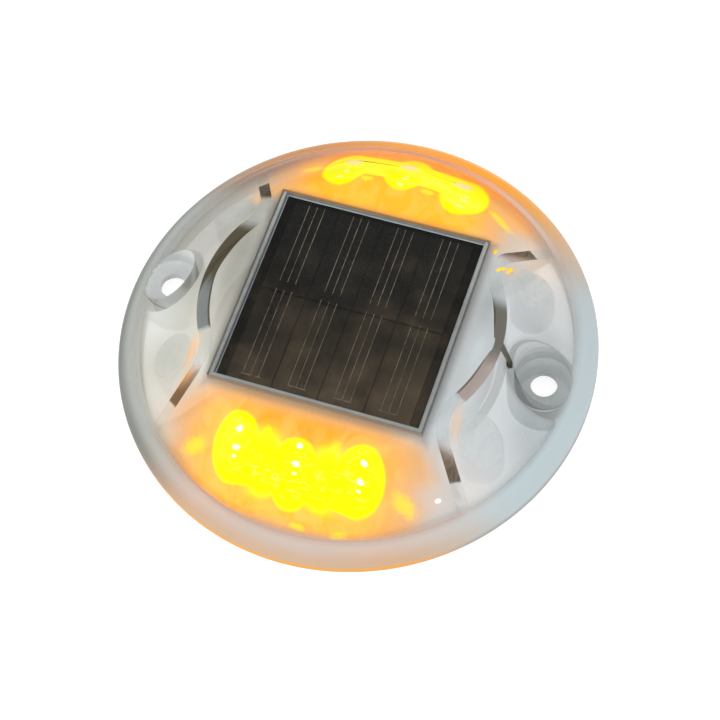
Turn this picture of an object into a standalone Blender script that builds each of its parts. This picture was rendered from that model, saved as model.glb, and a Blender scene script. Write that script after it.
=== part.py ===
"""Round solar raised pavement marker, 120 mm across and 22 mm high, as an assembly of its pieces.

Frame: metres, +Z up.  The origin is the centre of the underside.  X runs through the two mounting
holes, and Y along the traffic: the front LEDs look along -Y and the rear LEDs along +Y.

A clear moulded cover carries everything.  Two wavy walls under its crown close off a central
compartment, and the spaces outside them are open below, for the road adhesive to key into.  The
compartment holds a white carrier tray with the circuit board, the battery cell, two groups of
three LEDs in their lens blocks and, under a recess in the crown, the solar panel.  A gasket and
a base plate close it.
"""

import math

import bmesh
import bpy
from mathutils import Matrix, Vector

# Cover: crown, skirt and rim
BODY_RADIUS = 0.060
BODY_HEIGHT = 0.022
CROWN_RADIUS = 0.0385        # where the flat crown would meet the sloping skirt
CROWN_FILLET = 0.006
RIM_TOP_RADIUS = 0.0594
RIM_TOP_HEIGHT = 0.0037
RIM_EDGE_HEIGHT = 0.0010
SKIN = 0.0022                # thickness of the crown and the skirt
RIM_INNER_RADIUS = 0.054
ROUND_SEGMENTS = 80

# Wavy walls: an arc, a smaller reverse arc round each pillar, and a straight run to the rim
WALL_THICKNESS = 0.0023
WALL_ARC_CENTRE_X = 0.0057
WALL_ARC_RADIUS = 0.0309
PILLAR_X = 0.0392
PILLAR_Y = 0.0213
PILLAR_RADIUS = 0.0055
WALL_RUN_ANGLE = math.radians(48.65)

# Mounting wells
HOLE_SPACING = 0.097
HOLE_RADIUS = 0.0033
WELL_RADIUS = 0.0072
WELL_WALL = 0.0018
WELL_FLOOR = 0.0073
WEB_THICKNESS = 0.0020
WELL_BORE_RADIUS = 0.0064

# Solar panel
PANEL_SIDE = 0.0535
PANEL_TOP = 0.02095
PANEL_THICKNESS = 0.00305
SUBSTRATE_THICKNESS = 0.0010
RESIN_FACE = 0.0010
CELL_FIELD = 0.0516
CELL_WIDTH = 0.0113
CELL_PITCH_X = 0.0116
CELL_LENGTH = 0.0250
CELL_PITCH_Y = 0.0255
CELL_THICKNESS = 0.00025

# LEDs and their lens blocks
LED_X = 0.0156
LED_HEIGHT = 0.0095
LED_BACK_Y = 0.0346          # back face of an outer LED
LED_MIDDLE_SHIFT = 0.0028    # the middle LED sits further out
LED_RADIUS = 0.0025
LED_FLANGE_RADIUS = 0.0029
LED_LENGTH = 0.0086
LED_CLEARANCE = 0.0003
LEAD_RADIUS = 0.00025
LEAD_SPACING = 0.00254
LOBE_HALF_WIDTH = 0.0056
LOBE_HALF_LENGTH = 0.0069
LOBE_CENTRE_Y = 0.0401
LOBE_BRIDGE_INNER_Y = 0.0392
LOBE_BRIDGE_OUTER_Y = 0.0464

# Compartment stack, from the underside up
GAP = 0.0003
BASE_THICKNESS = 0.0024
TRAY_THICKNESS = 0.0012
TRAY_INSET = 0.0023
GASKET_WIDTH = 0.0016
BOARD_THICKNESS = 0.0012
BOARD_HALF_X = 0.026
BOARD_HALF_Y = 0.032
PEG_OFFSET = 0.0225
PEG_RADIUS = 0.0022
PEG_SHOULDER_RADIUS = 0.0034
BATTERY_RADIUS = 0.00535
BATTERY_LENGTH = 0.0445
SLEEVE_THICKNESS = 0.00025
TAB_WIDTH = 0.0050
TAB_THICKNESS = 0.00030
WIRE_RADIUS = 0.0006

TRAY_BOTTOM = BASE_THICKNESS + GAP
TRAY_TOP = TRAY_BOTTOM + TRAY_THICKNESS
BOARD_BOTTOM = TRAY_TOP + 0.0013
BOARD_TOP = BOARD_BOTTOM + BOARD_THICKNESS
ON_BOARD = BOARD_TOP + GAP
BATTERY_AXIS = ON_BOARD + BATTERY_RADIUS
PANEL_BOTTOM = PANEL_TOP - PANEL_THICKNESS
SKIRT_FALL = (BODY_HEIGHT - RIM_TOP_HEIGHT) / (RIM_TOP_RADIUS - CROWN_RADIUS)
SKIRT_ANGLE = math.atan(SKIRT_FALL)

CLEAR = ("clear_polycarbonate", (0.80, 0.84, 0.84), 0.12, 0.0)
AMBER_CLEAR = ("amber_lens", (1.0, 0.80, 0.05), 0.10, 0.0)
AMBER_EPOXY = ("led_epoxy", (1.0, 0.86, 0.10), 0.08, 0.0)
WHITE_PLASTIC = ("white_plastic", (0.85, 0.84, 0.80), 0.45, 0.0)
GREY_PLASTIC = ("grey_plastic", (0.42, 0.44, 0.45), 0.55, 0.0)
SEAL_RUBBER = ("seal_rubber", (0.05, 0.05, 0.05), 0.75, 0.0)
SILICON = ("silicon_cell", (0.035, 0.028, 0.026), 0.25, 0.1)
PANEL_BACK = ("panel_back", (0.06, 0.06, 0.065), 0.50, 0.0)
CLEAR_RESIN = ("clear_resin", (0.52, 0.55, 0.55), 0.10, 0.0)
BOARD_GREEN = ("board_laminate", (0.03, 0.22, 0.10), 0.40, 0.0)
BLACK_PACKAGE = ("component_black", (0.03, 0.03, 0.03), 0.50, 0.0)
FERRITE = ("ferrite", (0.12, 0.11, 0.11), 0.60, 0.1)
TINNED = ("tinned_metal", (0.72, 0.71, 0.69), 0.30, 1.0)
CELL_STEEL = ("cell_can", (0.66, 0.66, 0.66), 0.28, 1.0)
SLEEVE_GREEN = ("battery_sleeve", (0.05, 0.35, 0.14), 0.35, 0.0)
WIRE_RED = ("wire_red", (0.60, 0.03, 0.03), 0.45, 0.0)
WIRE_BLACK = ("wire_black", (0.03, 0.03, 0.03), 0.45, 0.0)


# ---------------------------------------------------------------- tools

def clear_scene():
    for obj in list(bpy.data.objects):
        bpy.data.objects.remove(obj, do_unlink=True)


def material(spec):
    name, colour, roughness, metallic = spec
    mat = bpy.data.materials.get(name) or bpy.data.materials.new(name)
    mat.use_nodes = True
    shader = mat.node_tree.nodes["Principled BSDF"]
    shader.inputs["Base Color"].default_value = (*colour, 1.0)
    shader.inputs["Roughness"].default_value = roughness
    shader.inputs["Metallic"].default_value = metallic
    return mat


def add_object(name, bm, spec, smooth=False):
    """Turns a bmesh into a scene object; a piece without a material is a cutter."""
    bmesh.ops.recalc_face_normals(bm, faces=bm.faces)
    mesh = bpy.data.meshes.new(name)
    bm.to_mesh(mesh)
    bm.free()
    obj = bpy.data.objects.new(name, mesh)
    bpy.context.scene.collection.objects.link(obj)
    if spec is None:
        obj.hide_render = True
        obj.display_type = "WIRE"
    else:
        mesh.materials.append(material(spec))
    if smooth:
        mesh.shade_smooth()
        mesh.set_sharp_from_angle(angle=math.radians(35))
    return obj


def boolean(target, other, operation="DIFFERENCE"):
    mod = target.modifiers.new(other.name, "BOOLEAN")
    mod.operation = operation
    mod.solver = "EXACT"
    mod.object = other


def turned(name, profile, spec, segments=ROUND_SEGMENTS, place=None):
    """Solid of revolution about Z; the profile runs from the top of the axis to its bottom."""
    bm = bmesh.new()
    top = bm.verts.new((0.0, 0.0, profile[0][1]))
    bottom = bm.verts.new((0.0, 0.0, profile[-1][1]))
    rings = []
    for radius, z in profile[1:-1]:
        ring = []
        for i in range(segments):
            angle = 2 * math.pi * i / segments
            ring.append(bm.verts.new((radius * math.cos(angle), radius * math.sin(angle), z)))
        rings.append(ring)
    for i in range(segments):
        j = (i + 1) % segments
        bm.faces.new((top, rings[0][i], rings[0][j]))
        bm.faces.new((bottom, rings[-1][j], rings[-1][i]))
        for upper, lower in zip(rings, rings[1:]):
            bm.faces.new((upper[i], lower[i], lower[j], upper[j]))
    for flat in (top, bottom):
        bmesh.ops.dissolve_verts(bm, verts=[flat])
    if place is not None:
        bm.transform(place)
    return add_object(name, bm, spec, smooth=True)


def prism(name, outline, z_low, z_high, spec, smooth=False):
    bm = bmesh.new()
    face = bm.faces.new([bm.verts.new((x, y, z_low)) for x, y in outline])
    raised = bmesh.ops.extrude_face_region(bm, geom=[face])["geom"]
    lifted = [item for item in raised if isinstance(item, bmesh.types.BMVert)]
    bmesh.ops.translate(bm, verts=lifted, vec=(0.0, 0.0, z_high - z_low))
    return add_object(name, bm, spec, smooth)


def ring_prism(name, outer, inner, z_low, z_high, spec):
    """A band between two outlines that have the same number of points."""
    bm = bmesh.new()
    loops = []
    for outline, z in ((outer, z_low), (outer, z_high), (inner, z_high), (inner, z_low)):
        loops.append([bm.verts.new((x, y, z)) for x, y in outline])
    for a, b in zip(loops, loops[1:] + loops[:1]):
        for i in range(len(a)):
            j = (i + 1) % len(a)
            bm.faces.new((a[i], a[j], b[j], b[i]))
    return add_object(name, bm, spec, smooth=True)


def block(name, low, high, spec, bevel=0.0):
    bm = bmesh.new()
    size = Vector(high) - Vector(low)
    middle = (Vector(high) + Vector(low)) / 2
    shape = Matrix.Translation(middle) @ Matrix.Diagonal((*size, 1.0))
    bmesh.ops.create_cube(bm, size=1.0, matrix=shape)
    if bevel > 0.0:
        bmesh.ops.bevel(bm, geom=list(bm.edges), offset=bevel, segments=1, affect="EDGES")
    return add_object(name, bm, spec)


def post(name, centre, radius, z_low, z_high, spec, segments=32):
    place = Matrix.Translation((centre[0], centre[1], 0.0))
    profile = [(0.0, z_high), (radius, z_high), (radius, z_low), (0.0, z_low)]
    return turned(name, profile, spec, segments, place)


def wire(name, points, radius, spec, resolution=1):
    curve = bpy.data.curves.new(name, "CURVE")
    curve.dimensions = "3D"
    curve.bevel_depth = radius
    curve.bevel_resolution = resolution
    curve.use_fill_caps = True
    spline = curve.splines.new("POLY")
    spline.points.add(len(points) - 1)
    for target, point in zip(spline.points, points):
        target.co = (*point, 1.0)
    curve.materials.append(material(spec))
    obj = bpy.data.objects.new(name, curve)
    bpy.context.scene.collection.objects.link(obj)
    return obj


# ---------------------------------------------------------------- shared outlines

def skirt_height(radius):
    """Height of the sloping outer surface at a distance from the axis."""
    return BODY_HEIGHT - (radius - CROWN_RADIUS) * SKIRT_FALL


def crown_arc(radius, fall_offset, steps=5):
    """Rounds the corner between the flat crown and the skirt."""
    tangent = radius * math.tan(SKIRT_ANGLE / 2)
    centre = (CROWN_RADIUS - tangent, BODY_HEIGHT - radius)
    points = []
    for i in range(steps + 1):
        angle = math.pi / 2 - SKIRT_ANGLE * i / steps
        r = centre[0] + (radius - fall_offset) * math.cos(angle)
        z = centre[1] + (radius - fall_offset) * math.sin(angle)
        points.append((r, z))
    return points


def inner_profile(extra=0.0):
    """Underside of the crown and the skirt, set in by a further gap where one is asked for."""
    arc = crown_arc(CROWN_FILLET, SKIN + extra)
    radius = RIM_INNER_RADIUS - extra
    end = skirt_height(radius) - (SKIN + extra) / math.cos(SKIRT_ANGLE)
    below = -0.001
    return [(0.0, arc[0][1]), *arc, (radius, end), (radius, below), (0.0, below)]


def wall_line(offset, reach):
    """One wavy wall at +X, from the rim at -Y to the rim at +Y.

    The offset is measured from the middle of the wall's thickness, outwards.  The straight runs
    end at the given distance from the axis.
    """
    turn = math.atan2(PILLAR_Y, PILLAR_X - WALL_ARC_CENTRE_X)
    span = math.hypot(PILLAR_Y, PILLAR_X - WALL_ARC_CENTRE_X)
    large = WALL_ARC_RADIUS + offset
    small = span - WALL_ARC_RADIUS - offset
    upper = []
    for i in range(1, 9):
        angle = turn * i / 8
        x = WALL_ARC_CENTRE_X + large * math.cos(angle)
        upper.append((x, large * math.sin(angle)))
    first = math.pi + turn
    last = math.pi / 2 + WALL_RUN_ANGLE
    for i in range(1, 9):
        angle = first + (last - first) * i / 8
        upper.append((PILLAR_X + small * math.cos(angle), PILLAR_Y + small * math.sin(angle)))
    x, y = upper[-1]
    dx = math.cos(WALL_RUN_ANGLE)
    dy = math.sin(WALL_RUN_ANGLE)
    along = x * dx + y * dy
    run = -along + math.sqrt(along ** 2 - (x ** 2 + y ** 2 - reach ** 2))
    upper.append((x + dx * run, y + dy * run))
    lower = [(x, -y) for x, y in reversed(upper)]
    return lower + [(WALL_ARC_CENTRE_X + large, 0.0)] + upper


def compartment_outline(inset):
    """Plan of the central compartment: both wavy walls, joined by arcs along the rim."""
    reach = RIM_INNER_RADIUS - inset
    right = wall_line(-WALL_THICKNESS / 2 - inset, reach)
    start = math.atan2(right[-1][1], right[-1][0])
    steps = 22
    rear = []
    for i in range(1, steps):
        angle = start + (math.pi - 2 * start) * i / steps
        rear.append((reach * math.cos(angle), reach * math.sin(angle)))
    left = [(-x, y) for x, y in reversed(right)]
    front = [(-x, -y) for x, y in rear]
    return right + rear + left + front


def wall_region(offset):
    """Plan of everything between the walls, carried on past the rim."""
    past = 0.075
    right = wall_line(offset, past)
    left = [(-x, -y) for x, y in right]
    return right + [(0.0, past)] + left + [(0.0, -past)]


def lobe_edge(x, side):
    """Inner (side -1) or outer (side +1) edge of the three-lobed lens block at one x."""
    bridge = LOBE_BRIDGE_OUTER_Y if side > 0 else LOBE_BRIDGE_INNER_Y
    softness = 0.0006
    share = max(0.0, 1.0 - (x / LED_X) ** 4)
    total = share * math.exp(side * (bridge - LOBE_CENTRE_Y) / softness)
    for centre_x, centre_y in ((-LED_X, 0.0), (0.0, LED_MIDDLE_SHIFT), (LED_X, 0.0)):
        across = abs(x - centre_x) / LOBE_HALF_WIDTH
        if across < 1.0001:
            reach = centre_y + side * LOBE_HALF_LENGTH * math.sqrt(max(0.0, 1.0 - across ** 2))
            total += math.exp(side * reach / softness)
    return LOBE_CENTRE_Y + side * softness * math.log(total)


def lens_outline(sign):
    half = LED_X + LOBE_HALF_WIDTH
    steps = 30
    across = [half * math.sin(math.pi / 2 * (2 * i / steps - 1)) for i in range(steps + 1)]
    outer = [(x, sign * lobe_edge(x, 1)) for x in across]
    inner = [(x, sign * lobe_edge(x, -1)) for x in reversed(across[1:-1])]
    return outer + inner


# ---------------------------------------------------------------- cover

def make_cover():
    fillet = crown_arc(CROWN_FILLET, 0.0)
    rim = [(RIM_TOP_RADIUS - 0.0012, skirt_height(RIM_TOP_RADIUS - 0.0012)),
           (RIM_TOP_RADIUS - 0.0001, RIM_TOP_HEIGHT - 0.0004),
           (BODY_RADIUS, RIM_EDGE_HEIGHT + 0.0012)]
    profile = [(0.0, BODY_HEIGHT), *fillet, *rim, (BODY_RADIUS, 0.0), (0.0, 0.0)]
    cover = turned("top_cover", profile, CLEAR)

    compartment = prism("cut_compartment", wall_region(-WALL_THICKNESS / 2), -0.002, 0.030, None)
    dome = turned("cut_dome", inner_profile(), None)
    boolean(compartment, dome, "INTERSECT")

    pockets = turned("cut_pockets", inner_profile(), None)
    walls = prism("keep_walls", wall_region(WALL_THICKNESS / 2), -0.005, 0.035, None)
    boolean(pockets, walls)
    for name, sx, sy in corner_signs():
        centre = (sx * PILLAR_X, sy * PILLAR_Y)
        boolean(pockets, post("keep_pillar_" + name, centre, PILLAR_RADIUS, -0.005, 0.035, None))
    tube_radius = WELL_RADIUS + WELL_WALL
    for name, sign in (("left", -1), ("right", 1)):
        centre = (sign * HOLE_SPACING / 2, 0.0)
        boolean(pockets, post("keep_well_" + name, centre, tube_radius, -0.005, 0.035, None, 48))

    for name, sign in (("left", -1), ("right", 1)):
        centre = (sign * HOLE_SPACING / 2, 0.0)
        web_bottom = WELL_FLOOR - WEB_THICKNESS
        well = post("cut_well_" + name, centre, WELL_RADIUS, WELL_FLOOR, 0.030, None, 48)
        hole = post("cut_hole_" + name, centre, HOLE_RADIUS, 0.004, 0.012, None, 32)
        bore = post("cut_bore_" + name, centre, WELL_BORE_RADIUS, -0.002, web_bottom, None, 40)
        boolean(cover, well)
        boolean(cover, hole)
        boolean(cover, bore)
    half = PANEL_SIDE / 2 + GAP
    recess = block("cut_panel", (-half, -half, 0.012), (half, half, PANEL_TOP + GAP), None)
    boolean(cover, recess)
    boolean(cover, compartment)
    boolean(cover, pockets)


def corner_signs():
    return (("front_left", -1, -1), ("front_right", 1, -1), ("rear_left", -1, 1), ("rear_right", 1, 1))


# ---------------------------------------------------------------- closing parts and carrier

def make_closure():
    prism("base_plate", compartment_outline(GAP), 0.0, BASE_THICKNESS, GREY_PLASTIC)
    outer = compartment_outline(GAP)
    inner = compartment_outline(GAP + GASKET_WIDTH)
    ring_prism("seal_gasket", outer, inner, TRAY_BOTTOM, TRAY_TOP, SEAL_RUBBER)


def make_carrier_tray():
    """A floor with four stepped pegs: the board rests on their shoulders, the panel on their tops."""
    tray = prism("carrier_tray", compartment_outline(TRAY_INSET), TRAY_BOTTOM, TRAY_TOP, WHITE_PLASTIC)
    overlap = 0.0004
    shoulder = BOARD_BOTTOM - GAP
    for name, sx, sy in corner_signs():
        place = Matrix.Translation((sx * PEG_OFFSET, sy * PEG_OFFSET, 0.0))
        profile = [(0.0, PANEL_BOTTOM - GAP), (PEG_RADIUS, PANEL_BOTTOM - GAP), (PEG_RADIUS, shoulder),
                   (PEG_SHOULDER_RADIUS, shoulder), (PEG_SHOULDER_RADIUS, TRAY_TOP - overlap),
                   (0.0, TRAY_TOP - overlap)]
        boolean(tray, turned("add_peg_" + name, profile, None, 24, place), "UNION")


# ---------------------------------------------------------------- electronics

def make_board():
    board = block("circuit_board", (-BOARD_HALF_X, -BOARD_HALF_Y, BOARD_BOTTOM),
                  (BOARD_HALF_X, BOARD_HALF_Y, BOARD_TOP), BOARD_GREEN)
    for name, sx, sy in corner_signs():
        centre = (sx * PEG_OFFSET, sy * PEG_OFFSET)
        hole = post("cut_peg_hole_" + name, centre, PEG_RADIUS + 0.0004, 0.0, 0.02, None, 24)
        boolean(board, hole)


def make_driver_ic():
    x, y = 0.0, -0.0145
    half_x, half_y, height = 0.00245, 0.0020, 0.0015
    body_low = ON_BOARD + 0.0001
    package = block("driver_ic", (x - half_x, y - half_y, body_low),
                    (x + half_x, y + half_y, body_low + height), BLACK_PACKAGE, 0.0002)
    for side in (-1, 1):
        for i in range(4):
            leg_x = x + (i - 1.5) * 0.00127
            leg = block("add_leg_%d_%d" % (side, i),
                        (leg_x - 0.0002, y + side * half_y - 0.0010, ON_BOARD),
                        (leg_x + 0.0002, y + side * half_y + 0.0010, ON_BOARD + 0.0006), None)
            boolean(package, leg, "UNION")


def make_small_components():
    top = ON_BOARD + 0.0032
    drum = [(0.0, top), (0.0030, top), (0.0030, top - 0.0007), (0.0021, top - 0.0007),
            (0.0021, ON_BOARD + 0.0007), (0.0030, ON_BOARD + 0.0007), (0.0030, ON_BOARD), (0.0, ON_BOARD)]
    turned("inductor", drum, FERRITE, 28, Matrix.Translation((0.0115, -0.0150, 0.0)))
    can_top = ON_BOARD + 0.0054
    groove = ON_BOARD + 0.0012
    can = [(0.0, can_top), (0.0023, can_top), (0.0025, can_top - 0.0003), (0.0025, groove + 0.0004),
           (0.0023, groove), (0.0025, groove - 0.0004), (0.0025, ON_BOARD), (0.0, ON_BOARD)]
    turned("capacitor", can, CELL_STEEL, 28, Matrix.Translation((-0.0115, -0.0150, 0.0)))
    block("charge_diode", (0.0090, 0.0130, ON_BOARD), (0.0134, 0.0156, ON_BOARD + 0.0021),
          BLACK_PACKAGE, 0.0003)
    for i, y in enumerate((0.0120, 0.0165)):
        block("resistor_%d" % (i + 1), (-0.0120, y, ON_BOARD), (-0.0100, y + 0.00125, ON_BOARD + 0.0006),
              BLACK_PACKAGE, 0.0001)


def make_battery():
    """One AAA-size cell lying across the board, in its sleeve, with a bent tab at each end."""
    along_x = Matrix.Translation((0.0, 0.0, BATTERY_AXIS)) @ Matrix.Rotation(math.pi / 2, 4, "Y")
    half = BATTERY_LENGTH / 2
    cell_radius = BATTERY_RADIUS - SLEEVE_THICKNESS - 0.0002
    button = 0.0019
    can = [(0.0, half), (button, half), (button, half - 0.0008), (cell_radius - 0.0003, half - 0.0008),
           (cell_radius, half - 0.0011), (cell_radius, -half + 0.0003),
           (cell_radius - 0.0003, -half), (0.0, -half)]
    turned("battery_cell", can, CELL_STEEL, 36, along_x)
    sleeve = bmesh.new()
    inner = BATTERY_RADIUS - SLEEVE_THICKNESS
    ends = (-half + 0.0006, half - 0.0014)
    loops = []
    for radius, z in ((BATTERY_RADIUS, ends[0]), (BATTERY_RADIUS, ends[1]), (inner, ends[1]), (inner, ends[0])):
        ring = []
        for i in range(36):
            angle = 2 * math.pi * i / 36
            ring.append(sleeve.verts.new((radius * math.cos(angle), radius * math.sin(angle), z)))
        loops.append(ring)
    for a, b in zip(loops, loops[1:] + loops[:1]):
        for i in range(36):
            j = (i + 1) % 36
            sleeve.faces.new((a[i], a[j], b[j], b[i]))
    sleeve.transform(along_x)
    add_object("battery_sleeve", sleeve, SLEEVE_GREEN, smooth=True)
    for name, sign in (("neg", -1), ("pos", 1)):
        near = half + GAP
        outline = [(near, ON_BOARD), (near, BATTERY_AXIS + 0.002), (near + TAB_THICKNESS, BATTERY_AXIS + 0.002),
                   (near + TAB_THICKNESS, ON_BOARD + TAB_THICKNESS),
                   (near + 0.0030, ON_BOARD + TAB_THICKNESS), (near + 0.0030, ON_BOARD)]
        bm = bmesh.new()
        face = bm.faces.new([bm.verts.new((sign * x, -TAB_WIDTH / 2, z)) for x, z in outline])
        moved = bmesh.ops.extrude_face_region(bm, geom=[face])["geom"]
        lifted = [item for item in moved if isinstance(item, bmesh.types.BMVert)]
        bmesh.ops.translate(bm, verts=lifted, vec=(0.0, TAB_WIDTH, 0.0))
        add_object("battery_tab_" + name, bm, TINNED)


def make_panel_wires():
    for name, sign, spec in (("neg", -1, WIRE_BLACK), ("pos", 1, WIRE_RED)):
        points = []
        for i in range(9):
            t = i / 8
            z = ON_BOARD + t * (PANEL_BOTTOM - GAP - ON_BOARD)
            sway = 0.0015 * math.sin(math.pi * t)
            points.append((sign * 0.0040, 0.0165 + sway, z))
        wire("panel_wire_" + name, points, WIRE_RADIUS, spec, 2)


# ---------------------------------------------------------------- solar panel

def make_panel():
    half = PANEL_SIDE / 2
    substrate_top = PANEL_BOTTOM + SUBSTRATE_THICKNESS
    block("panel_substrate", (-half, -half, PANEL_BOTTOM), (half, half, substrate_top), PANEL_BACK)
    cell_low = substrate_top + GAP
    number = 1
    for row in (-0.5, 0.5):
        for column in (-1.5, -0.5, 0.5, 1.5):
            x = column * CELL_PITCH_X
            y = row * CELL_PITCH_Y
            block("solar_cell_%d" % number,
                  (x - CELL_WIDTH / 2, y - CELL_LENGTH / 2, cell_low),
                  (x + CELL_WIDTH / 2, y + CELL_LENGTH / 2, cell_low + CELL_THICKNESS), SILICON)
            number += 1
    resin = block("panel_resin", (-half, -half, substrate_top + GAP), (half, half, PANEL_TOP),
                  CLEAR_RESIN, 0.0002)
    inside = CELL_FIELD / 2
    field = block("cut_cell_field", (-inside, -inside, 0.010),
                  (inside, inside, PANEL_TOP - RESIN_FACE), None)
    boolean(resin, field)


# ---------------------------------------------------------------- LEDs

def led_profile(extra, length):
    """Flange, barrel and round nose; the back face is at z = 0 and the nose points up."""
    radius = LED_RADIUS + extra
    points = [(0.0, length + extra)]
    nose = length + extra - radius
    for i in range(1, 7):
        angle = math.pi / 2 * i / 6
        points.append((radius * math.sin(angle), nose + radius * math.cos(angle)))
    return points


def make_leds():
    for group, sign in (("front", -1), ("rear", 1)):
        lens = prism("led_lens_" + group, lens_outline(sign), TRAY_TOP + GAP, 0.030, AMBER_CLEAR, True)
        envelope = turned("trim_lens_" + group, inner_profile(GAP), None)
        boolean(lens, envelope, "INTERSECT")
        facing = Matrix.Rotation(-sign * math.pi / 2, 4, "X")
        for i, column in enumerate((-1, 0, 1)):
            x = column * LED_X
            back = LED_BACK_Y + (LED_MIDDLE_SHIFT if column == 0 else 0.0)
            place = Matrix.Translation((x, sign * back, LED_HEIGHT)) @ facing
            nose = led_profile(0.0, LED_LENGTH)
            body = nose + [(LED_RADIUS, 0.0010), (LED_FLANGE_RADIUS, 0.0010),
                           (LED_FLANGE_RADIUS, 0.0), (0.0, 0.0)]
            number = i + 1
            turned("led_%s_%d" % (group, number), body, AMBER_EPOXY, 20, place)
            extra = LED_FLANGE_RADIUS + LED_CLEARANCE - LED_RADIUS
            bore = led_profile(extra, LED_LENGTH)
            bore += [(LED_RADIUS + extra, -0.008), (0.0, -0.008)]
            boolean(lens, turned("cut_led_%s_%d" % (group, number), bore, None, 20, place))
            for pole, side in (("a", -1), ("k", 1)):
                lead_x = x + side * LEAD_SPACING / 2
                start = sign * (back - GAP)
                bend = sign * (BOARD_HALF_Y - 0.0012)
                route = [(lead_x, start, LED_HEIGHT), (lead_x, bend, LED_HEIGHT), (lead_x, bend, ON_BOARD)]
                wire("led_lead_%s_%d_%s" % (group, number, pole), route, LEAD_RADIUS, TINNED)


def main():
    clear_scene()
    make_cover()
    make_closure()
    make_carrier_tray()
    make_board()
    make_driver_ic()
    make_small_components()
    make_battery()
    make_panel_wires()
    make_panel()
    make_leds()


main()
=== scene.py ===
"""Looks of the round solar raised pavement marker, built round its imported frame.

The clear cover is shown as what can be seen of it: a shell whose underside is frosted, the wavy
walls, pillars and screw wells under it, and the light of two groups of LEDs spreading through it.
Positions in the materials are in millimetres, in the part's own frame.
"""
import math
from functools import reduce

import bmesh
import bpy
from mathutils import Matrix, Vector


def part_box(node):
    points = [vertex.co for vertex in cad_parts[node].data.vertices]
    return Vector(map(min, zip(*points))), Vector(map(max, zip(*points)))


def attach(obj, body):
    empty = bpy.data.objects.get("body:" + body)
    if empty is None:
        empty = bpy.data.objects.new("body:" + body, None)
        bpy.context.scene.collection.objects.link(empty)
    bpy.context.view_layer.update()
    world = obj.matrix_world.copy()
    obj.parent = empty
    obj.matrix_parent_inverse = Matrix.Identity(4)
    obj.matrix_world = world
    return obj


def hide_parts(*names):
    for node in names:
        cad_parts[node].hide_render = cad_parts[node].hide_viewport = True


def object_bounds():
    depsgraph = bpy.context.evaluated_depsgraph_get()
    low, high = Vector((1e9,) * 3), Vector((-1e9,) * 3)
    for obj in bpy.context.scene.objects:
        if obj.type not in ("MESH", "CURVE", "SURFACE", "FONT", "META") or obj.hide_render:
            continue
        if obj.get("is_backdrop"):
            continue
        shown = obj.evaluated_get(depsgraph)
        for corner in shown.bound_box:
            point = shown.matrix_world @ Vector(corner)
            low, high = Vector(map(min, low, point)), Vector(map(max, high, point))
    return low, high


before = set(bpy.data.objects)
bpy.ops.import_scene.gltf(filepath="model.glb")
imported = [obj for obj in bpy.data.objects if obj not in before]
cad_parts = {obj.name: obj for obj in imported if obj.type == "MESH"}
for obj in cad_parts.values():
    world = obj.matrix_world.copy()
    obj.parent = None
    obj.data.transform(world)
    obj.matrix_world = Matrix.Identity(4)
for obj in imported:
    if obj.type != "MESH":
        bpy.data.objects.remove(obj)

cad_box = [list(corner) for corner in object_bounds()]
MM = 0.001

# ---- the cover's dimensions, in metres

BODY_RADIUS = cad_box[1][0]
BODY_HEIGHT = cad_box[1][2]
CROWN_RADIUS = 0.0385
CROWN_FILLET = 0.006
RIM_TOP_RADIUS = 0.0594
RIM_TOP_HEIGHT = 0.0037
SKIN = 0.0022
RIM_INNER_RADIUS = 0.054
WALL_THICKNESS = 0.0023
ROOT_INNER = 0.0019
ROOT_OUTER = 0.0013
ROOT_END = 0.0014
WALL_ARC_CENTRE_X = 0.0057
WALL_ARC_RADIUS = 0.0309
PILLAR_X = 0.0392
PILLAR_Y = 0.0213
PILLAR_RADIUS = 0.0055
WALL_RUN_ANGLE = {"left": math.radians(60.0), "right": math.radians(53.0)}
HOLE_X = 0.0485
HOLE_RADIUS = 0.0033
WELL_RADIUS = 0.0072
WELL_WALL = 0.0018
WELL_FLOOR = 0.0073
WEB_THICKNESS = 0.0020
WELL_BORE_RADIUS = 0.0064
PANEL_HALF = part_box("panel_resin")[1][0]
PANEL_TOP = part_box("panel_resin")[1][2]
CELL_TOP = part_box("solar_cell_1")[1][2]
CELL_FIELD_HALF = 0.0258
LED_X = 0.0156
LED_MIDDLE_SHIFT = 0.0028
LOBE_HALF_WIDTH = 0.0056
LOBE_HALF_LENGTH = 0.0069
LOBE_CENTRE_Y = 0.0401
LOBE_BRIDGE_INNER_Y = 0.0392
LOBE_BRIDGE_OUTER_Y = 0.0472
LENS_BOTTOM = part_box("led_lens_front")[0][2]
LED_PLACES = ((-LED_X, 0.0), (0.0, LED_MIDDLE_SHIFT), (LED_X, 0.0))     # x, and how much further out
GAP = 0.0003
WALL_ROOT = 0.00015             # how far each reaches into the cover's underside
RIB_ROOT = 0.00012
PILLAR_ROOT = 0.0001
ON_ROAD = 0.0001                # the low ends of walls and pillars, just clear of the road
ABOVE_ALL = 0.03                # cutters reach from above the cover to below the road face
BELOW_ALL = -0.001
FAR_BELOW = -0.005              # below the foot of the cutters too

CLEAR_TINT = (0.97, 0.98, 0.98)

SKIRT_FALL = (BODY_HEIGHT - RIM_TOP_HEIGHT) / (RIM_TOP_RADIUS - CROWN_RADIUS)
SKIRT_ANGLE = math.atan(SKIRT_FALL)
AROUND = 192


# ---- fields: patterns from Math nodes

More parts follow.
